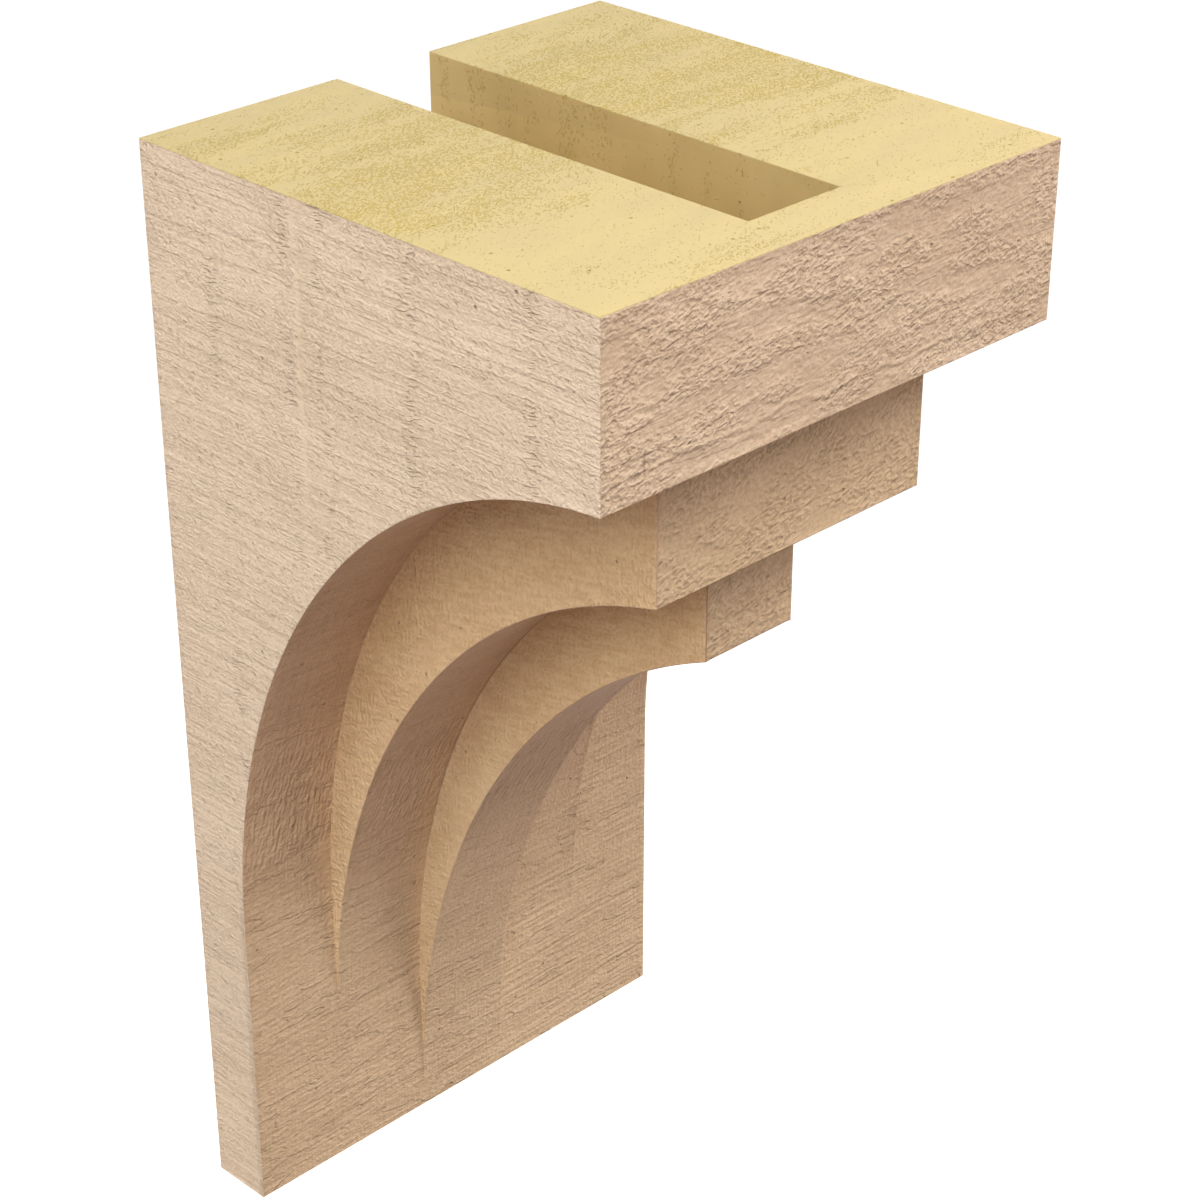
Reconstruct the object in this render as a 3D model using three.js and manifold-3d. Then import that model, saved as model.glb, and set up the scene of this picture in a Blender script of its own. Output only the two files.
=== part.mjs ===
// Stepped urethane corbel, cast in one piece, that carries a beam, a shelf or a soffit.
// Millimetres, +Z up. The back of the wall plate is at Y = 0 and the front faces -Y.
// The origin is the middle of that back face.

import * as THREE from 'three';
import { mergeVertices } from 'three/addons/utils/BufferGeometryUtils.js';
import Module from 'manifold-3d';

// Overall sizes
const height = 406.4;
const plateThickness = 25.4;

// Widths across the front, each tier centred under the one above it
const topTierWidth = 203.2;
const middleTierWidth = 121.92;
const bottomTierWidth = 40.64;

// How far the top tier reaches out from the wall, and how far each lower tier is set back from the one above it
const topTierDepth = 203.2;
const middleTierSetback = 16.7;
const bottomTierSetback = 16.9;

// Heights of the front faces, each measured from the underside of the tier above it
const topTierFace = 60.96;
const middleTierFace = 50.8;
const bottomTierFace = 40.64;

// Each tier is scooped out below by a quarter of an ellipse, standing upright.
// It leaves the front face's lower edge, still rising to its crown, which is this far ahead of the face.
const topCoveCrownLead = 9.8;
const middleCoveCrownLead = 38.2;
const bottomCoveCrownLead = 73.5;

// It runs out into the plate, tangent to it, at this height above the lower end
const topCoveFoot = 120.1;
const middleCoveFoot = 59.1;
const bottomCoveFoot = 8.5;

// Slot for a mounting block or a bracket, open at the top and at the wall
const slotWidth = 40.64;
const slotDepth = 40.64;
const slotFrontWall = 20.32;

// Straight steps along each cove, and how far the slot's cutter stands out of the corbel
const coveSteps = 48;
const cutterOvershoot = 10;

const lowerEnd = -height / 2;
const upperEnd = height / 2;

const middleTierDepth = topTierDepth - middleTierSetback;
const bottomTierDepth = middleTierDepth - bottomTierSetback;

const topTierUnderside = upperEnd - topTierFace;
const middleTierUnderside = topTierUnderside - middleTierFace;
const bottomTierUnderside = middleTierUnderside - bottomTierFace;

const tiers = [
  {
    width: topTierWidth,
    depth: topTierDepth,
    underside: topTierUnderside,
    crownLead: topCoveCrownLead,
    foot: lowerEnd + topCoveFoot,
  },
  {
    width: middleTierWidth,
    depth: middleTierDepth,
    underside: middleTierUnderside,
    crownLead: middleCoveCrownLead,
    foot: lowerEnd + middleCoveFoot,
  },
  {
    width: bottomTierWidth,
    depth: bottomTierDepth,
    underside: bottomTierUnderside,
    crownLead: bottomCoveCrownLead,
    foot: lowerEnd + bottomCoveFoot,
  },
];

const wasm = await Module();
wasm.setup();

function solidOf(geometry) {
  const shell = geometry.clone();
  shell.deleteAttribute('normal');
  shell.deleteAttribute('uv');
  const merged = mergeVertices(shell);
  return new wasm.Manifold(
    new wasm.Mesh({
      numProp: 3,
      vertProperties: new Float32Array(merged.attributes.position.array),
      triVerts: new Uint32Array(merged.index.array),
    }),
  );
}

function geometryOf(solid) {
  const mesh = solid.getMesh();
  const geometry = new THREE.BufferGeometry();
  geometry.setAttribute('position', new THREE.BufferAttribute(mesh.vertProperties, 3));
  geometry.setIndex(new THREE.BufferAttribute(mesh.triVerts, 1));
  return geometry;
}

// The tier seen from the side, with Y across and Z up: its block, its cove and its strip of the wall plate
function tierProfile({ depth, underside, crownLead, foot }) {
  const halfReach = depth - plateThickness + crownLead;
  const startAngle = Math.acos(crownLead / halfReach);
  const halfRise = (underside - foot) / Math.sin(startAngle);
  const centreY = -plateThickness - halfReach;

  const profile = new THREE.Shape();
  profile.moveTo(0, lowerEnd);
  profile.lineTo(0, upperEnd);
  profile.lineTo(-depth, upperEnd);
  profile.absellipse(centreY, foot, halfReach, halfRise, startAngle, 0, true);
  profile.lineTo(-plateThickness, lowerEnd);
  return profile;
}

function tierGeometry(tier) {
  const geometry = new THREE.ExtrudeGeometry(tierProfile(tier), {
    depth: tier.width,
    curveSegments: coveSteps / 2,
    steps: 1,
    bevelEnabled: false,
  });
  const acrossTheFront = new THREE.Matrix4().makeBasis(
    new THREE.Vector3(0, 1, 0),
    new THREE.Vector3(0, 0, 1),
    new THREE.Vector3(1, 0, 0),
  );
  geometry.applyMatrix4(acrossTheFront);
  geometry.translate(-tier.width / 2, 0, 0);
  return geometry;
}

function slotCutter() {
  const reach = topTierDepth - slotFrontWall + cutterOvershoot;
  const drop = slotDepth + cutterOvershoot;
  const cutter = new THREE.BoxGeometry(slotWidth, reach, drop);
  cutter.translate(0, cutterOvershoot - reach / 2, upperEnd + cutterOvershoot - drop / 2);
  return cutter;
}

function corbelGeometry() {
  let body = solidOf(tierGeometry(tiers[0]));
  for (const tier of tiers.slice(1)) {
    body = body.add(solidOf(tierGeometry(tier)));
  }
  return geometryOf(body.subtract(solidOf(slotCutter())));
}

// Rigid urethane foam with a tan factory primer
const primedFoam = new THREE.MeshStandardMaterial({
  color: 0xd8bd9f,
  roughness: 0.85,
  metalness: 0,
  flatShading: true,
});

const corbel = new THREE.Mesh(corbelGeometry(), primedFoam);
corbel.name = 'corbel';

const group = new THREE.Group();
group.add(corbel);

export default group;
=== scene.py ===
# Stepped wall corbel of moulded foam: rough-sawn tan primer on the outside,
# bare foam on the top, in the slot and behind.
# Metres, +Z up, the wall at Y = 0 and the front facing -Y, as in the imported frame.

import math

import bmesh
import bpy
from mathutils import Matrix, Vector, noise


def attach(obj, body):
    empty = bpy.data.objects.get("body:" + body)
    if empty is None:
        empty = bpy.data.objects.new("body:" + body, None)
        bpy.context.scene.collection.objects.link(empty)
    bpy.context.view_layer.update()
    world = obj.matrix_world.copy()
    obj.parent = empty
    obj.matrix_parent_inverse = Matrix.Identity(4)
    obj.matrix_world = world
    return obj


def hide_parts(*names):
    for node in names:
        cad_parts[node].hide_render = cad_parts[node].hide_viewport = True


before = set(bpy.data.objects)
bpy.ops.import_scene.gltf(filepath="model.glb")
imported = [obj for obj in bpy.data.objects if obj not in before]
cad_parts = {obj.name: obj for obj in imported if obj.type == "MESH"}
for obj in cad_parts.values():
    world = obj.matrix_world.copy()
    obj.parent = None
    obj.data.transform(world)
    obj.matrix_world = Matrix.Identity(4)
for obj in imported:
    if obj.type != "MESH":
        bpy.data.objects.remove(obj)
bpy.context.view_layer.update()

MM = 0.001

# Overall sizes
HEIGHT = 406.4 * MM
LOWER_END = -HEIGHT / 2
UPPER_END = HEIGHT / 2
PLATE_THICKNESS = 25.4 * MM

# Slot for the mounting block
SLOT_WIDTH = 40.64 * MM
SLOT_DEPTH = 40.64 * MM
SLOT_REACH = 182.88 * MM

# Widest tier first, in millimetres: its width, its reach from the wall, the underside of its
# front, how far the cove's crown is ahead of the front, and where the cove meets the plate
TIERS = (
    {"width": 203.2, "reach": 203.2, "underside": 142.24, "lead": 9.8, "foot": -83.1},
    {"width": 121.92, "reach": 186.5, "underside": 91.44, "lead": 38.2, "foot": -144.1},
    {"width": 40.64, "reach": 169.6, "underside": 50.8, "lead": 73.5, "foot": -194.7},
)
LOWER_TIERS = TIERS[1:]

# Cutting
COVE_SIDES = 1040
CUT_MARGIN = 12 * MM
MERGE_DISTANCE = 0.002 * MM
FLAT_ANGLE = math.radians(0.05)

# Softened outer edges, and the length of a lower tier's thin tip that has none
EDGE_RADIUS = 0.3 * MM
EDGE_STEPS = 2
SHARP_ANGLE = math.radians(20)
SMOOTH_ANGLE = math.radians(25)
TIP_LENGTH = 34 * MM

# How nearly a face has to lie at a place or across an axis to count as there
TOUCH = 0.02 * MM
SQUARE = 0.999
DEAD_SQUARE = 0.99999
EDGEWISE = 0.1
ON_ELLIPSE = 0.001

# Spacing of the lines that divide the faces for the sawn relief
ROW_SPACING = 0.85 * MM
COLUMN_SPACING = 2.8 * MM
FRONT_COLUMN_SPACING = 1.7 * MM
SLICE_THRESHOLD = 0.001 * MM


# Blocks and cuts

def choose(piece):
    bpy.ops.object.select_all(action="DESELECT")
    piece.select_set(True)
    bpy.context.view_layer.objects.active = piece


def settle(piece):
    choose(piece)
    bpy.ops.object.transform_apply(location=True, rotation=True, scale=True)


def half_width_of(tier):
    return tier["width"] * MM / 2


def ellipse_of(tier):
    """Half the length and half the height of the ellipse that a tier's cove follows."""
    half_reach = (tier["reach"] + tier["lead"]) * MM - PLATE_THICKNESS
    start = math.acos(tier["lead"] * MM / half_reach)
    half_rise = (tier["underside"] - tier["foot"]) * MM / math.sin(start)
    return half_reach, half_rise


def add_block(name, width, back, front, low, high):
    bpy.ops.object.select_all(action="DESELECT")
    bpy.ops.mesh.primitive_cube_add(
        size=1,
        location=(0, (back + front) / 2, (low + high) / 2),
        scale=(width, abs(back - front), high - low),
    )
    block = bpy.context.active_object
    block.name = name
    settle(block)
    return block


def add_scoop(tier):
    """An elliptical cylinder across the front, its lower half drawn down past the lower end."""
    half_reach, half_rise = ellipse_of(tier)
    foot = tier["foot"] * MM
    bpy.ops.object.select_all(action="DESELECT")
    bpy.ops.mesh.primitive_cylinder_add(
        vertices=COVE_SIDES,
        radius=1,
        depth=tier["width"] * MM + 2 * CUT_MARGIN,
        location=(0, -PLATE_THICKNESS - half_reach, foot),
        rotation=(0, math.pi / 2, 0),
        scale=(half_rise, half_reach, 1),
    )
    scoop = bpy.context.active_object
    scoop.name = "scoop"
    settle(scoop)
    bpy.ops.object.mode_set(mode="EDIT")
    bpy.ops.mesh.select_all(action="DESELECT")
    bpy.ops.object.mode_set(mode="OBJECT")
    for vertex in scoop.data.vertices:
        vertex.select = vertex.co.z < foot - TOUCH
    bpy.ops.object.mode_set(mode="EDIT")
    bpy.ops.transform.translate(value=(0, 0, LOWER_END - CUT_MARGIN - foot))
    bpy.ops.object.mode_set(mode="OBJECT")
    return scoop


def combine(piece, other, operation):
    """Cuts the other piece from this one, or joins it to it, and takes the other away."""
    choose(piece)
    joiner = piece.modifiers.new("cut", "BOOLEAN")
    joiner.operation = operation
    joiner.solver = "EXACT"
    joiner.object = other
    bpy.ops.object.modifier_apply(modifier=joiner.name)
    bpy.data.objects.remove(other)


def add_tier(tier):
    block = add_block(
        "tier", tier["width"] * MM, 0, -tier["reach"] * MM, LOWER_END, UPPER_END
    )
    combine(block, add_scoop(tier), "DIFFERENCE")
    return block


def add_casting():
    casting = add_tier(TIERS[0])
    for tier in LOWER_TIERS:
        combine(casting, add_tier(tier), "UNION")
    slot = add_block(
        "slot",
        SLOT_WIDTH,
        CUT_MARGIN,
        -SLOT_REACH,
        UPPER_END - SLOT_DEPTH,
        UPPER_END + CUT_MARGIN,
    )
    combine(casting, slot, "DIFFERENCE")
    casting.name = "corbel_cast"
    casting.data.name = "corbel_cast"
    bpy.ops.object.mode_set(mode="EDIT")
    bpy.ops.mesh.select_all(action="SELECT")
    bpy.ops.mesh.remove_doubles(threshold=MERGE_DISTANCE)
    bpy.ops.mesh.dissolve_limited(angle_limit=FLAT_ANGLE)
    bpy.ops.object.mode_set(mode="OBJECT")
    return casting


casting = add_casting()
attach(casting, "root")
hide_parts("corbel")


# Edges

def along_tip(middle):
    """True on the last stretch of a lower tier's curved edge, where the tier thins out."""
    for tier in LOWER_TIERS:
        on_the_side = abs(abs(middle.x) - half_width_of(tier)) < TOUCH
        if on_the_side and middle.z < tier["foot"] * MM + TIP_LENGTH:
            return True
    return False


def soften_edges(piece):
    choose(piece)
    bpy.ops.object.mode_set(mode="EDIT")
    bpy.ops.mesh.select_mode(type="EDGE")
    bpy.ops.mesh.select_all(action="DESELECT")
    body = bmesh.from_edit_mesh(piece.data)
    for edge in body.edges:
        sharp = edge.calc_face_angle_signed(0) > SHARP_ANGLE
        middle = (edge.verts[0].co + edge.verts[1].co) / 2
        edge.select = sharp and not along_tip(middle)
    bmesh.update_edit_mesh(piece.data)
    bpy.ops.mesh.bevel(
        offset=EDGE_RADIUS,
        segments=EDGE_STEPS,
        profile=0.5,
        clamp_overlap=False,
        loop_slide=False,
    )
    bpy.ops.object.mode_set(mode="OBJECT")


# Faces by where they are

def on_cove(middle):
    for tier in TIERS:
        half_reach, half_rise = ellipse_of(tier)
        across = (middle.y + PLATE_THICKNESS + half_reach) / half_reach
        up = (middle.z - tier["foot"] * MM) / half_rise
        if up > 0 and abs(math.hypot(across, up) - 1) < ON_ELLIPSE:
            return True
    return False


def in_slot(middle):
    deep = middle.z > UPPER_END - SLOT_DEPTH - TOUCH
    between = abs(middle.x) < SLOT_WIDTH / 2 + TOUCH
    return deep and between and middle.y > -SLOT_REACH - TOUCH


def region_of(middle, normal):
    if normal.z > SQUARE and middle.z > UPPER_END - TOUCH:
        return "top"
    if in_slot(middle):
        return "slot"
    if normal.y > SQUARE:
        return "back"
    if normal.z < -SQUARE and middle.z < LOWER_END + TOUCH:
        return "lower_end"
    if abs(normal.x) > SQUARE:
        outer = abs(middle.x) > half_width_of(TIERS[0]) - TOUCH
        return "outer_side" if outer else "inner_side"
    if normal.y < -SQUARE and middle.y < -TIERS[2]["reach"] * MM + TOUCH:
        return "front"
    if normal.y < -DEAD_SQUARE and abs(middle.y + PLATE_THICKNESS) < TOUCH:
        return "plate"
    if abs(normal.x) < EDGEWISE and on_cove(middle):
        return "cove"
    return "edge"


def slice_faces(piece, regions, axis, first, last, spacing):
    """Divides the faces of those regions by evenly spaced planes across the axis."""
    choose(piece)
    for polygon in piece.data.polygons:
        polygon.select = region_of(polygon.center, polygon.normal) in regions
    bpy.ops.object.mode_set(mode="EDIT")
    bpy.ops.mesh.select_mode(type="FACE")
    bpy.ops.mesh.hide(unselected=True)
    count = round((last - first) / spacing)
    across = [1.0 if index == axis else 0.0 for index in range(3)]
    for step in range(1, count):
        place = [0.0, 0.0, 0.0]
        place[axis] = first + (last - first) * step / count
        bpy.ops.mesh.select_all(action="SELECT")
        bpy.ops.mesh.bisect(plane_co=place, plane_no=across, threshold=SLICE_THRESHOLD)
    bpy.ops.mesh.reveal(select=False)
    bpy.ops.object.mode_set(mode="OBJECT")


soften_edges(casting)
half_width = half_width_of(TIERS[0])
reach = TIERS[0]["reach"] * MM
upright = ("outer_side", "inner_side", "front", "plate", "edge")
slice_faces(casting, upright, 2, LOWER_END, UPPER_END, ROW_SPACING)
slice_faces(casting, ("outer_side", "inner_side"), 1, -reach, 0, COLUMN_SPACING)
slice_faces(casting, ("plate", "cove"), 0, -half_width, half_width, COLUMN_SPACING)
slice_faces(casting, ("front",), 0, -half_width, half_width, FRONT_COLUMN_SPACING)


# Relief

# A place away from the object, so that no pattern's middle falls on it
PATTERN_ORIGIN = (0.5, 0.7, 0.9)

# How far in from a front face's edges the relief reaches its full depth
EDGE_FADE = 4 * MM

# The height of the cutter's chatter in the coves, and how far it spreads up and down
CHATTER_HEIGHT = -34 * MM
CHATTER_SPREAD = 30 * MM


def interior_points(piece, face_regions, *regions):
    """The points that touch faces of those regions only."""
    wanted = set(regions)
    touching = [set() for _ in piece.data.vertices]
    for polygon, region in zip(piece.data.polygons, face_regions):
        for index in polygon.vertices:
            touching[index].add(region)
    return [index for index, found in enumerate(touching) if found <= wanted]


def add_group(piece, name, points, weight_of=None):
    group = piece.vertex_groups.new(name=name)
    if weight_of is None:
        group.add(points, 1.0, "REPLACE")
        return
    for index in points:
        group.add([index], weight_of(piece.data.vertices[index].co), "REPLACE")


def add_clouds(name, depth, low=None, high=None):
    """A cloud pattern. With a low and a high value it is 0 below the one and 1 above the other."""
    texture = bpy.data.textures.new(name, "CLOUDS")
    texture.noise_scale = 1.0
    texture.noise_depth = depth
    texture.noise_type = "SOFT_NOISE"
    if high is not None:
        texture.use_color_ramp = True
        first, last = texture.color_ramp.elements
        first.position, last.position = low, high
        first.color = (0.0, 0.0, 0.0, 1.0)
        last.color = (1.0, 1.0, 1.0, 1.0)
    return texture


def press(piece, group, texture, grain, depth, turn=(0, 0, 0)):
    """Sinks the group's points by up to that depth.

    The pattern's marks have the grain's sizes in millimetres.
    """
    bpy.ops.object.select_all(action="DESELECT")
    bpy.ops.object.empty_add(location=PATTERN_ORIGIN)
    guide = bpy.context.active_object
    guide.rotation_euler = [math.radians(angle) for angle in turn]
    guide.scale = [size * MM for size in grain]
    bpy.context.view_layer.update()
    choose(piece)
    sink = piece.modifiers.new(group, "DISPLACE")
    sink.texture = texture
    sink.texture_coords = "OBJECT"
    sink.texture_coords_object = guide
    sink.direction = "NORMAL"
    sink.vertex_group = group
    sink.strength = depth
    sink.mid_level = 1.0
    bpy.ops.object.modifier_apply(modifier=sink.name)
    bpy.data.objects.remove(guide)


def share_of(value):
    """The value, held between 0 and 1."""
    return min(1.0, max(0.0, value))


def band_strength(place):
    """Torn strips that run down the outer sides, each side with its own."""
    strip = noise.noise(Vector((place.x * 7, place.y / (17 * MM), place.z / (120 * MM))))
    patch = noise.noise(Vector((place.y / (9 * MM), place.z / (14 * MM), 3.7)))
    return share_of(0.16 + 1.9 * strip + 0.5 * patch)


def edge_fade(place):
    """0 at the edges of a tier's front face and 1 a little way in, so that the edges stay true."""
    tier = min(TIERS, key=lambda tier: abs(-tier["reach"] * MM - place.y))
    room = min(
        place.z - tier["underside"] * MM,
        UPPER_END - place.z,
        half_width_of(tier) - abs(place.x),
    )
    return share_of(room / EDGE_FADE)


def patch_strength(place):
    """Torn patches on the front faces, drawn out sideways, each tier with its own."""
    patch = noise.noise(Vector((place.x / (38 * MM), place.y * 9, place.z / (13 * MM))))
    return share_of(0.45 + 1.5 * patch) * edge_fade(place)


def chatter_strength(place):
    """The cutter's chatter across the middle of the coves."""
    height = (place.z - CHATTER_HEIGHT) / CHATTER_SPREAD
    return math.exp(-height * height)


face_regions = [region_of(face.center, face.normal) for face in casting.data.polygons]
choose(casting)
bpy.ops.object.shade_smooth_by_angle(angle=SMOOTH_ANGLE, keep_sharp_edges=True)

sides = interior_points(casting, face_regions, "outer_side")
fronts = interior_points(casting, face_regions, "front")
inner_sides = interior_points(casting, face_regions, "inner_side")
coves = interior_points(casting, face_regions, "cove", "plate")
add_group(casting, "sawn_sides", sides)
add_group(casting, "torn_sides", sides, band_strength)
add_group(casting, "sawn_fronts", fronts, edge_fade)
add_group(casting, "torn_fronts", fronts, patch_strength)
add_group(casting, "inner_sides", inner_sides)
add_group(casting, "coves", coves)
add_group(casting, "chatter", coves, chatter_strength)

lumps = add_clouds("lumps", 2)
ribs = add_clouds("ribs", 0, 0.3, 0.62)

press(casting, "sawn_sides", lumps, (22, 12, 2.6), 0.26 * MM)
press(casting, "torn_sides", lumps, (4, 4, 2.2), 0.4 * MM)
press(casting, "sawn_fronts", lumps, (9, 9, 4), 0.25 * MM)
press(casting, "torn_fronts", lumps, (3.4, 5, 2.4), 0.4 * MM)
press(casting, "inner_sides", lumps, (14, 11, 6), 0.2 * MM)
press(casting, "coves", lumps, (26, 9, 8), 0.3 * MM)
press(casting, "chatter", ribs, (2.2, 6, 6), 0.35 * MM, turn=(0, 12, 0))


# Shader tools

class Wire:
    """An output in a shader tree. Arithmetic on it adds Math nodes there."""

    def __init__(self, board, socket):
        self.board = board
        self.socket = socket

    def __add__(self, other):
        return self.board.math("ADD", self, other)

    __radd__ = __add__

    def __mul__(self, other):
        return self.board.math("MULTIPLY", self, other)

    __rmul__ = __mul__

    def __sub__(self, other):
        return self.board.math("SUBTRACT", self, other)

    def __rsub__(self, other):
        return self.board.math("SUBTRACT", other, self)

    def __abs__(self):
        return self.board.math("ABSOLUTE", self)


class Board:
    """A shader tree and the nodes that go on it. Its patterns are in millimetres."""

    def __init__(self, tree):
        self.tree = tree
        tree.nodes.clear()

    def add(self, kind, settings, values, output=0):
        node = self.tree.nodes.new(kind)
        for name, value in settings.items():
            setattr(node, name, value)
        for name, value in values.items():
            socket = node.inputs[name]
            if isinstance(value, Wire):
                self.tree.links.new(value.socket, socket)
            else:
                socket.default_value = value
        return Wire(self, node.outputs[output]) if node.outputs else None

    def math(self, operation, *values):
        settings = {"operation": operation}
        return self.add("ShaderNodeMath", settings, dict(enumerate(values)))

    def places(self):
        """Object coordinates in millimetres."""
        metres = self.add("ShaderNodeTexCoord", {}, {}, "Object")
        return self.stretch(metres, (MM, MM, MM))

    def along(self, places, axis):
        return self.add("ShaderNodeSeparateXYZ", {}, {"Vector": places}, axis)

    def stretch(self, places, sizes, turn=(0, 0, 0)):
        """Coordinates for a pattern whose marks have those sizes, turned by those angles."""
        if any(turn):
            angles = [math.radians(angle) for angle in turn]
            settings = {"vector_type": "TEXTURE"}
            places = self.add(
                "ShaderNodeMapping", settings, {"Vector": places, "Rotation": angles}
            )
        factors = [1 / size for size in sizes]
        settings = {"operation": "MULTIPLY"}
        return self.add("ShaderNodeVectorMath", settings, {0: places, 1: factors})

    def noise(self, places, sizes, detail, roughness=0.5, turn=(0, 0, 0)):
        values = {
            "Vector": self.stretch(places, sizes, turn),
            "Scale": 1.0,
            "Detail": detail,
            "Roughness": roughness,
        }
        return self.add("ShaderNodeTexNoise", {"noise_dimensions": "3D"}, values)

    def rise(self, value, low, high):
        """0 below low, 1 above high, and smooth between them."""
        settings = {"interpolation_type": "SMOOTHSTEP"}
        values = {"Value": value, "From Min": low, "From Max": high}
        return self.add("ShaderNodeMapRange", settings, values)

    def strip(self, value, middle, half_width):
        """1 at the middle value, falling to 0 at the half width on both sides of it."""
        return 1 - self.rise(abs(value - middle), 0.0, half_width)

    def pits(self, places, across, up, spacing, radius):
        """A few small round holes on a face that runs along those two axes."""
        values = {"X": self.along(places, across), "Y": self.along(places, up)}
        flat = self.add("ShaderNodeCombineXYZ", {}, values)
        scaled = self.stretch(flat, (spacing, spacing, 1))
        settings = {"voronoi_dimensions": "2D"}
        values = {"Vector": scaled, "Scale": 1.0}
        away = self.add("ShaderNodeTexVoronoi", settings, values, "Distance")
        return 1 - self.rise(away, 0.4 * radius / spacing, radius / spacing)

    def blend(self, share, first, second):
        """One colour turning into another."""
        settings = {"data_type": "RGBA"}
        values = {0: share, 6: first, 7: second}
        return self.add("ShaderNodeMix", settings, values, 2)

    def surface(self, values):
        principled = self.add("ShaderNodeBsdfPrincipled", {}, values)
        self.add("ShaderNodeOutputMaterial", {}, {"Surface": principled})

    def finish(self, color, roughness, height, specular):
        """The object's surface, with its height in millimetres as bump."""
        bump = self.add("ShaderNodeBump", {}, {"Distance": MM, "Height": height})
        self.surface(
            {
                "Base Color": color,
                "Roughness": roughness,
                "Normal": bump,
                "Specular IOR Level": specular,
            }
        )


def new_material(name):
    material = bpy.data.materials.new(name)
    material.use_nodes = True
    return material, Board(material.node_tree)


def color_of(red, green, blue):
    return (red, green, blue, 1.0)


# Finishes

# Each primer's colour in the hollows and on the high spots: painted shade in the hollows, painted
# light on the high spots
SIDE_PRIMER = (color_of(0.625, 0.475, 0.33), color_of(0.75, 0.59, 0.43))
# Painted light: the paler primer laid on the outer sides low down; it also tones the smooth strip
PALE_SIDE_TONE_AND_PAINTED_LIGHT = (color_of(0.695, 0.525, 0.355), color_of(0.82, 0.64, 0.455))
FRONT_PRIMER = (color_of(0.56, 0.385, 0.245), color_of(0.71, 0.52, 0.355))
# Painted shade: a warmer, slightly darker copy of the front primer for the lower tiers' fronts,
# under the top tier
SHADED_PRIMER_ON_LOWER_FRONTS = (color_of(0.57, 0.377, 0.214), color_of(0.72, 0.507, 0.307))
PLATE_PRIMER = (color_of(0.595, 0.403, 0.235), color_of(0.725, 0.518, 0.32))
# Painted shade: the coves' primer is a darker copy of the plate's
SHADED_PRIMER_IN_COVES = (color_of(0.525, 0.325, 0.19), color_of(0.645, 0.425, 0.26))
# Painted shade: the inner sides are painted darker and more orange towards the top, under the tier
# above; LOWER_INNER_PRIMER is the paler lower copy
INNER_PRIMER = (color_of(0.585, 0.365, 0.18), color_of(0.735, 0.508, 0.275))
LOWER_INNER_PRIMER = (color_of(0.69, 0.485, 0.27), color_of(0.82, 0.61, 0.37))
PRIMER_SHADOW = color_of(0.36, 0.22, 0.13)

# The two colours that the foam drifts between, and that of its torn cells
TOP_FOAM = (color_of(0.548, 0.427, 0.208), color_of(0.60, 0.463, 0.207))
# Painted shade: the foam in the slot is painted darker than that on the top
SHADED_FOAM_IN_SLOT = (color_of(0.555, 0.40, 0.17), color_of(0.505, 0.36, 0.147))
FOAM_FLECK = color_of(0.42, 0.295, 0.045)

PRIMER_SHINE = 0.3
FOAM_SHINE = 0.25

# Strips down the outer sides: where each one's middle is on Y, and its half width, in millimetres
TORN_STRIPS = ((-32, 6), (-68, 4), (-84, 6), (-124, 7), (-176, 5))
SMOOTH_STRIP = (-74, 3.4)

# The ridge and the split low on the top tier's front, in millimetres
RIDGE_HEIGHT = 155.5
SPLIT_PLACE = -81
SPLIT_HEIGHT = 153

# The heights between which a finish turns, in millimetres
# Painted light: the outer sides are painted paler between these heights towards the bottom
SIDE_FOOT = (-190, -120)
SMOOTH_STRIP_START = (30, 150)
# Painted shade: below these heights the fronts, under the top tier, take the shaded copy of their
# primer
TOP_FRONT_START = (141.5, 143)
CHATTER_START = (-52, -46)
CHATTER_END = (-18, 12)
# Painted shade: low on the plate, below these heights, its left side is painted darker
PLATE_FOOT = (-110, -40)
# Painted shade: between these heights the plate's primer turns into the darker primer of the coves
PLATE_TO_COVE = (-128, -8)
# Painted shade: the coves are painted darker towards their tops, and the narrow tier's cove darker
# still
COVE_CROWN = (0, 100)
NARROW_COVE_START = (-95, -40)
# Painted shade: between these heights the inner sides turn darker towards the top, and darker still
# at the crown
INNER_SIDE_TURN = (-110, 70)
INNER_SIDE_SCORED = (20, 90)
INNER_SIDE_CROWN = (40, 140)

# The places across the width between which it turns, and on Y for the worn band on the top
RIGHT_HALF = (8, 28)
# Painted shade: the narrow tier's darker cove ends across the width here
NARROW_COVE_EDGE = (20.8, 22)
WORN_BAND_FRONT = (-165, -100)
WORN_BAND_BACK = (-48, -10)


def primed(board, places, height, turning, first, second):
    """Primer with painted shade in the hollows and painted light on the high spots, varying a
    little from place to place.

    Its two colours turn from those of the first primer to those of the second.
    """
    cloud = board.noise(places, (55, 55, 32), 1.0)
    # Painted shade and light: the share follows the relief's height, so hollows are painted darker
    # and high spots paler
    share = height * 0.7 + board.rise(cloud, 0.35, 0.65) * 0.3
    hollow = board.blend(turning, first[0], second[0])
    high_spot = board.blend(turning, first[1], second[1])
    return board.blend(share, hollow, high_spot)


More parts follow.
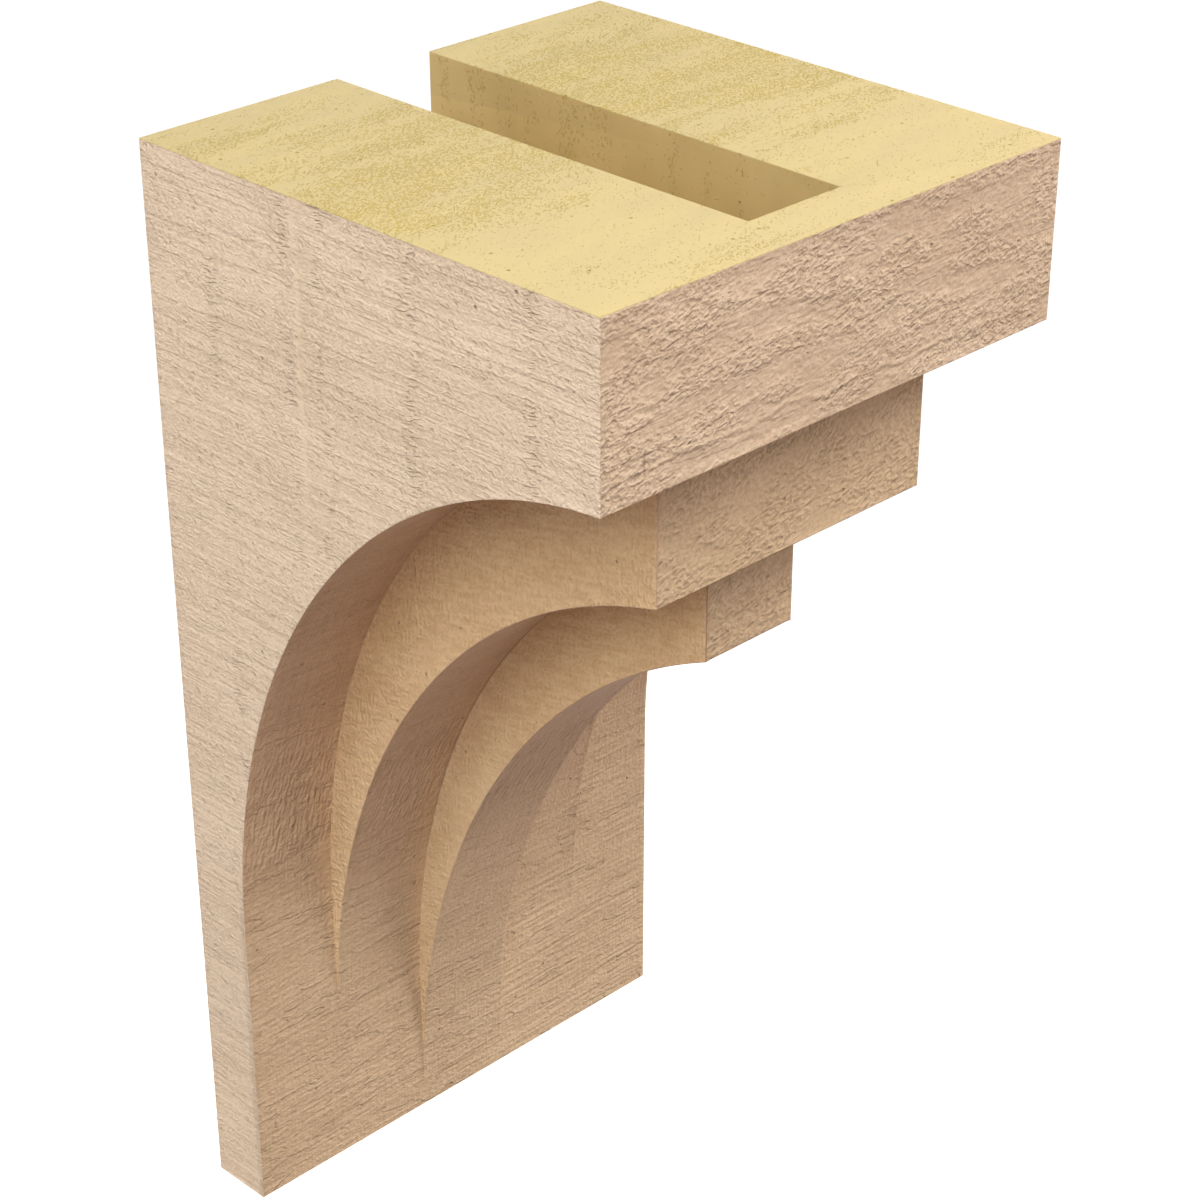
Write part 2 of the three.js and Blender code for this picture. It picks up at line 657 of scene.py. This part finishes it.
def sawn_sides(board, places):
    """Primer over the marks of rough-sawn timber: level saw lines, and torn strips across them."""
    back = board.along(places, "Y")
    up = board.along(places, "Z")
    grain = board.noise(places, (1.05, 1.1, 0.85), 1.0)
    lump = board.noise(places, (2.0, 2.2, 1.4), 0.0)
    ledge = board.rise(board.noise(places, (60, 44, 2.6), 2.0, 0.55), 0.42, 0.58)
    loose = board.rise(board.noise(places, (40, 22, 7), 0.0), 0.4, 0.62)
    smooth = board.strip(back, *SMOOTH_STRIP) * board.rise(up, *SMOOTH_STRIP_START)
    torn = sum(board.strip(back, *plan) for plan in TORN_STRIPS)
    ragged = board.rise(board.noise(places, (30, 9, 14), 1.0), 0.42, 0.62)
    dash = board.noise(places, (3, 4.2, 1.0), 0.0, turn=(-10, 0, 0))
    tear = board.rise(dash, 0.50, 0.66) * torn * ragged
    scratch = board.noise(places, (4, 3.4, 1.0), 0.0, turn=(24, 0, 0))
    nick = board.rise(scratch, 0.72, 0.80)
    pit = board.pits(places, "Y", "Z", 78, 0.75)
    relief = grain * 0.7 + lump * 0.3
    height = (
        (relief * (loose * 0.35 + 0.65) + ledge * 0.2) * (1 - smooth * 0.6)
        - tear * 0.5
        - nick * 0.4
        - pit * 0.6
    )
    # Painted light: the outer sides are painted paler towards the bottom, and the smooth strip is
    # paler in tone
    low = 1 - board.rise(up, *SIDE_FOOT)
    color = primed(
        board,
        places,
        board.rise(relief + ledge * 0.08, 0.38, 0.70),
        low * 0.8 + smooth * 0.35,
        SIDE_PRIMER,
        PALE_SIDE_TONE_AND_PAINTED_LIGHT,
    )
    color = board.blend(tear * 0.12 + nick * 0.18 + pit * 0.7, color, PRIMER_SHADOW)
    board.finish(color, 0.82 - grain * 0.12, height, PRIMER_SHINE)


def sawn_fronts(board, places):
    """The same on the fronts, coarser and in patches, with a ridge low on the top tier."""
    up = board.along(places, "Z")
    grain = board.noise(places, (1.0, 1.0, 0.8), 0.0, turn=(0, -10, 0))
    lump = board.noise(places, (2.0, 2.0, 1.35), 0.0, turn=(0, -12, 0))
    ledge = board.rise(board.noise(places, (42, 42, 8), 3.0, 0.6), 0.47, 0.53)
    patch = board.rise(board.noise(places, (26, 26, 11), 1.0), 0.36, 0.58)
    scratch = board.noise(places, (4.0, 4, 1.3), 0.0, turn=(0, -16, 0))
    nick = board.rise(scratch, 0.66, 0.76) * patch
    wave = board.noise(places, (16, 16, 30), 2.0)
    ridge = board.strip(up + wave * 9, RIDGE_HEIGHT, 1.6)
    split = board.strip(board.along(places, "X") + wave * 6, SPLIT_PLACE, 0.8)
    split = split * board.strip(up, SPLIT_HEIGHT, 7)
    pit = board.pits(places, "X", "Z", 44, 0.75)
    relief = grain * 0.35 + lump * 0.65
    height = (
        relief * (patch * 0.75 + 0.4)
        + ledge * 0.14
        + ridge * 0.25
        - split * 0.7
        - nick * 0.4
        - pit * 0.6
    )
    tone = relief * (patch * 0.5 + 0.5) + (1 - patch) * 0.25
    # Painted shade: the lower tiers' fronts are painted with the shaded copy of the primer
    color = primed(
        board,
        places,
        board.rise(tone, 0.34, 0.66),
        board.rise(up, *TOP_FRONT_START),
        SHADED_PRIMER_ON_LOWER_FRONTS,
        FRONT_PRIMER,
    )
    color = board.blend(nick * 0.25 + split * 0.5 + pit * 0.7, color, PRIMER_SHADOW)
    board.finish(color, 0.82 - grain * 0.12, height, PRIMER_SHINE)


def scooped(board, places):
    """Primer in the coves and on the plate.

    Streaks run along the sweep and fibres across it, and the cutter has left its chatter.
    """
    up = board.along(places, "Z")
    sideways = board.along(places, "X")
    streak = board.noise(places, (1.0, 14, 14), 0.0)
    fibre = board.noise(places, (28, 6, 1.9), 1.0, 0.55)
    grain = board.noise(places, (1.5, 1.3, 1.2), 1.0, 0.6)
    shelf = board.noise(places, (60, 22, 15), 4.0, 0.62)
    ledge = board.rise(shelf, 0.485, 0.515)
    split = board.strip(shelf, 0.5, 0.01)
    rib = board.noise(places, (1.4, 5, 5), 0.0, turn=(0, 12, 0))
    level = up + board.noise(places, (26, 12, 12), 1.0) * 24
    chatter = board.rise(level, *CHATTER_START) * (1 - board.rise(level, *CHATTER_END))
    low = 1 - board.rise(up, *PLATE_FOOT)
    right = board.rise(sideways, *RIGHT_HALF)
    pit = board.pits(places, "X", "Z", 44, 0.75)
    relief = streak * 0.2 + fibre * 0.35 + grain * 0.45
    height = (
        streak * (0.38 - low * 0.26) * (1 - right * 0.6)
        + fibre * (low * 0.3 + right * 0.2 + 0.3)
        + grain * (0.65 - right * 0.15)
        + ledge * 0.4
        + rib * chatter
        - split * 0.2
        - pit * 0.6
    )
    # Painted shade: the primer turns darker from the plate up into the coves
    color = primed(
        board,
        places,
        board.rise(relief + (rib - 0.5) * chatter * 0.5, 0.36, 0.64),
        board.rise(up, *PLATE_TO_COVE),
        PLATE_PRIMER,
        SHADED_PRIMER_IN_COVES,
    )
    # Painted shade: the narrow tier's cove is painted darker than the wide ones, the coves darker
    # towards their tops, and the plate's left side darker low down
    within = 1 - board.rise(abs(sideways), *NARROW_COVE_EDGE)
    narrow = board.rise(up, *NARROW_COVE_START) * within
    crown = board.rise(up, *COVE_CROWN)
    shadow = split * 0.15 + pit * 0.7 + narrow * 0.6 + crown * 0.14 + (1 - right) * low * 0.08
    color = board.blend(shadow, color, PRIMER_SHADOW)
    board.finish(color, 0.82 - grain * 0.12, height, PRIMER_SHINE)


def carved(board, places):
    """Primer on the flat sides of the lower tiers: fine upright scoring over slanting marks."""
    up = board.along(places, "Z")
    score = board.noise(places, (1.6, 0.95, 6), 0.0)
    slant = board.noise(places, (6, 9, 2.0), 1.0, 0.6, (-12, 0, 0))
    grain = board.noise(places, (1.2, 1.0, 1.1), 0.0)
    scored = board.rise(up, *INNER_SIDE_SCORED)
    crown = board.rise(up, *INNER_SIDE_CROWN)
    pit = board.pits(places, "Y", "Z", 40, 0.65)
    relief = score * 0.15 + slant * 0.5 + grain * 0.35
    height = score * (scored * 0.3 + 0.35) + slant * 0.65 + grain * 0.55 - pit * 0.6
    # Painted shade: the inner sides are painted darker and more orange towards the top, under the
    # tier above
    color = primed(
        board,
        places,
        board.rise(relief, 0.36, 0.64),
        board.rise(up, *INNER_SIDE_TURN),
        LOWER_INNER_PRIMER,
        INNER_PRIMER,
    )
    # Painted shade in the pits and at the top of the inner sides
    color = board.blend(pit * 0.7 + crown * 0.2, color, PRIMER_SHADOW)
    board.finish(color, 0.84 - grain * 0.1, height, PRIMER_SHINE)


def cut_foam(board, places):
    """Cut foam, with small slanting tears where the blade has pulled it, thicker in level bands."""
    back = board.along(places, "Y")
    fleck = board.noise(places, (1.15, 0.75, 5), 1.0, turn=(0, 0, 32))
    patch = board.noise(places, (60, 14, 300), 4.0, 0.62)
    behind = board.rise(back, *WORN_BAND_BACK)
    worn = board.rise(back, *WORN_BAND_FRONT) * (1 - behind * 0.8)
    flecked = board.rise(patch + worn * 0.22, 0.48, 0.80)
    mark = board.rise(fleck + flecked * 0.19, 0.64, 0.77)
    hole = board.pits(places, "X", "Y", 30, 0.7)
    cloud = board.rise(board.noise(places, (60, 14, 40), 3.0), 0.3, 0.7)
    color = board.blend(cloud * 0.6 + flecked * 0.2, *TOP_FOAM)
    # Painted shade in the pits, in the colour of the flecks; the flecks themselves are the foam's
    # own
    color = board.blend(mark * (flecked * 0.25 + 0.35) + hole * 0.9, color, FOAM_FLECK)
    height = 0 - mark * 0.2 - hole * 0.4
    board.finish(color, 0.86 - mark * 0.05, height, FOAM_SHINE)


def routed_foam(board, places):
    """Foam that a cutter has left smooth, with small torn cells in upright rows."""
    fleck = board.noise(places, (1.1, 0.9, 1.2), 1.0)
    flecked = board.rise(board.noise(places, (40, 7, 60), 2.0), 0.48, 0.68)
    mark = board.rise(fleck + flecked * 0.14, 0.68, 0.80)
    score = board.noise(places, (3, 3, 40), 1.0, 0.6)
    cloud = board.rise(board.noise(places, (30, 22, 30), 2.0), 0.3, 0.7)
    # Painted shade: the slot's walls are painted darker than the top
    color = board.blend(cloud, *SHADED_FOAM_IN_SLOT)
    color = board.blend(mark * 0.4, color, FOAM_FLECK)
    height = score * 0.05 - mark * 0.2
    board.finish(color, 0.86 - mark * 0.05, height, FOAM_SHINE)


# Finishes on the faces

# How far above a lower tier's foot its side is too thin to tell from the plate
FADED_TIP = 12 * MM
NEAR_THE_SIDE = 2 * MM
NEAR_AN_EDGE = 2 * EDGE_RADIUS

FINISHES = {
    "outer_side": ("sawn_primer_sides", sawn_sides),
    "front": ("sawn_primer_fronts", sawn_fronts),
    "cove": ("scooped_primer", scooped),
    "inner_side": ("carved_primer", carved),
    "top": ("cut_foam", cut_foam),
    "slot": ("routed_foam", routed_foam),
}
SHARED_FINISHES = {"plate": "cove", "back": "top", "lower_end": "cove"}


def edge_finish(middle):
    """The finish of the face that an edge rounds off."""
    if middle.z > UPPER_END - NEAR_AN_EDGE:
        return "top"
    beside_slot = abs(middle.x) < SLOT_WIDTH / 2
    if middle.z > UPPER_END - SLOT_DEPTH - NEAR_AN_EDGE and beside_slot:
        return "slot" if middle.y > -SLOT_REACH - NEAR_AN_EDGE else "front"
    outer = abs(middle.x) > half_width_of(TIERS[0]) - NEAR_AN_EDGE
    return "outer_side" if outer else "cove"


def on_faded_tip(middle):
    for tier in LOWER_TIERS:
        on_the_side = abs(abs(middle.x) - half_width_of(tier)) < NEAR_THE_SIDE
        if on_the_side and middle.z < tier["foot"] * MM + FADED_TIP:
            return True
    return False


def finish_for(middle, region):
    if region == "edge":
        return edge_finish(middle)
    if region == "inner_side" and on_faded_tip(middle):
        return "cove"
    return SHARED_FINISHES.get(region, region)


casting.data.materials.clear()
for name, paint in FINISHES.values():
    material, board = new_material(name)
    paint(board, board.places())
    casting.data.materials.append(material)
slots = {region: index for index, region in enumerate(FINISHES)}
for polygon, region in zip(casting.data.polygons, face_regions):
    polygon.material_index = slots[finish_for(polygon.center, region)]


# Camera

CAMERA_AZIMUTH = -45
CAMERA_ELEVATION = 30
CAMERA_DISTANCE = 1.0377
CAMERA_SENSOR = 36
CAMERA_LENS = 90.247
CAMERA_SHIFT = 0.0858
CAMERA_NEAREST = 0.05
CAMERA_FURTHEST = 60


def toward(azimuth, elevation):
    """The direction from the object toward a camera or a light at those angles in degrees."""
    around = math.radians(azimuth)
    up = math.radians(elevation)
    return Vector(
        (
            math.sin(around) * math.cos(up),
            -math.cos(around) * math.cos(up),
            math.sin(up),
        )
    )


bpy.ops.object.select_all(action="DESELECT")
target = Vector((0, -reach / 2, 0))
toward_camera = toward(CAMERA_AZIMUTH, CAMERA_ELEVATION)
bpy.ops.object.camera_add(location=target + toward_camera * CAMERA_DISTANCE)
camera = bpy.context.active_object
camera.rotation_mode = "QUATERNION"
camera.rotation_quaternion = (-toward_camera).to_track_quat("-Z", "Y")
camera.data.sensor_width = CAMERA_SENSOR
camera.data.lens = CAMERA_LENS
camera.data.shift_y = CAMERA_SHIFT
camera.data.clip_start = CAMERA_NEAREST
camera.data.clip_end = CAMERA_FURTHEST
bpy.context.scene.camera = camera


# Floor, far enough below for its shadow to fall out of view

FLOOR_DROP = 1.6
FLOOR_SIZE = 40
FLOOR_PALE = color_of(0.96, 0.96, 0.96)
FLOOR_DUST = color_of(0.93, 0.93, 0.93)
WHITE = color_of(1, 1, 1)

bpy.ops.mesh.primitive_plane_add(size=FLOOR_SIZE, location=(0, 0, -FLOOR_DROP))
floor = bpy.context.active_object
floor.name = "floor"
floor_finish, board = new_material("pale_floor")
dust = board.noise(board.places(), (300, 300, 300), 3.0)
board.surface(
    {
        "Base Color": board.blend(dust * 0.2, FLOOR_PALE, FLOOR_DUST),
        "Roughness": 0.9,
        "Emission Color": WHITE,
        "Emission Strength": 1.0,
    }
)
floor.data.materials.append(floor_finish)
floor.visible_diffuse = False
floor.visible_shadow = False


# Lights: azimuth and elevation in degrees, power in watts, and colour

LIGHTS = {
    "key_softbox": (-45, 50, 58, (1.0, 1.0, 1.0)),
    "left_softbox": (-80, 40, 10, (0.85, 1.0, 1.1)),
    "right_softbox": (70, 45, 55, (0.98, 1.0, 1.03)),
    "low_right_fill": (72, -5, 25, (1.02, 1.0, 0.97)),
    "low_left_fill": (-90, -30, 5, (1.1, 0.95, 0.95)),
    "rear_left_softbox": (-115, 12, 19.5, (0.98, 1.0, 1.0)),
    "rear_softbox": (165, 6, 26, (1.0, 1.0, 1.0)),
}
LIGHT_SIZE = 1.8
LIGHT_DISTANCE = 2.4

for name, (azimuth, elevation, power, color) in LIGHTS.items():
    away = toward(azimuth, elevation)
    bpy.ops.object.light_add(type="AREA", location=target + away * LIGHT_DISTANCE)
    lamp = bpy.context.active_object
    lamp.name = name
    lamp.rotation_mode = "QUATERNION"
    lamp.rotation_quaternion = away.to_track_quat("Z", "Y")
    lamp.data.size = LIGHT_SIZE
    lamp.data.energy = power
    lamp.data.color = color
    lamp.visible_camera = False


# Surroundings: white to the camera, and a warm glow from below on the object

GROUND_GLOW = color_of(0.295, 0.218, 0.188)
NO_GLOW = color_of(0, 0, 0)

world = bpy.data.worlds.new("studio")
bpy.context.scene.world = world
world.use_nodes = True
board = Board(world.node_tree)
direction = board.add("ShaderNodeTexCoord", {}, {}, "Generated")
glow = board.blend(board.rise(board.along(direction, "Z"), -0.5, 0.4), GROUND_GLOW, NO_GLOW)
seen = board.add("ShaderNodeLightPath", {}, {}, "Is Camera Ray")
values = {"Color": board.blend(seen, glow, WHITE), "Strength": 1.0}
board.add("ShaderNodeOutputWorld", {}, {"Surface": board.add("ShaderNodeBackground", {}, values)})

bpy.context.scene.view_settings.view_transform = "Standard"
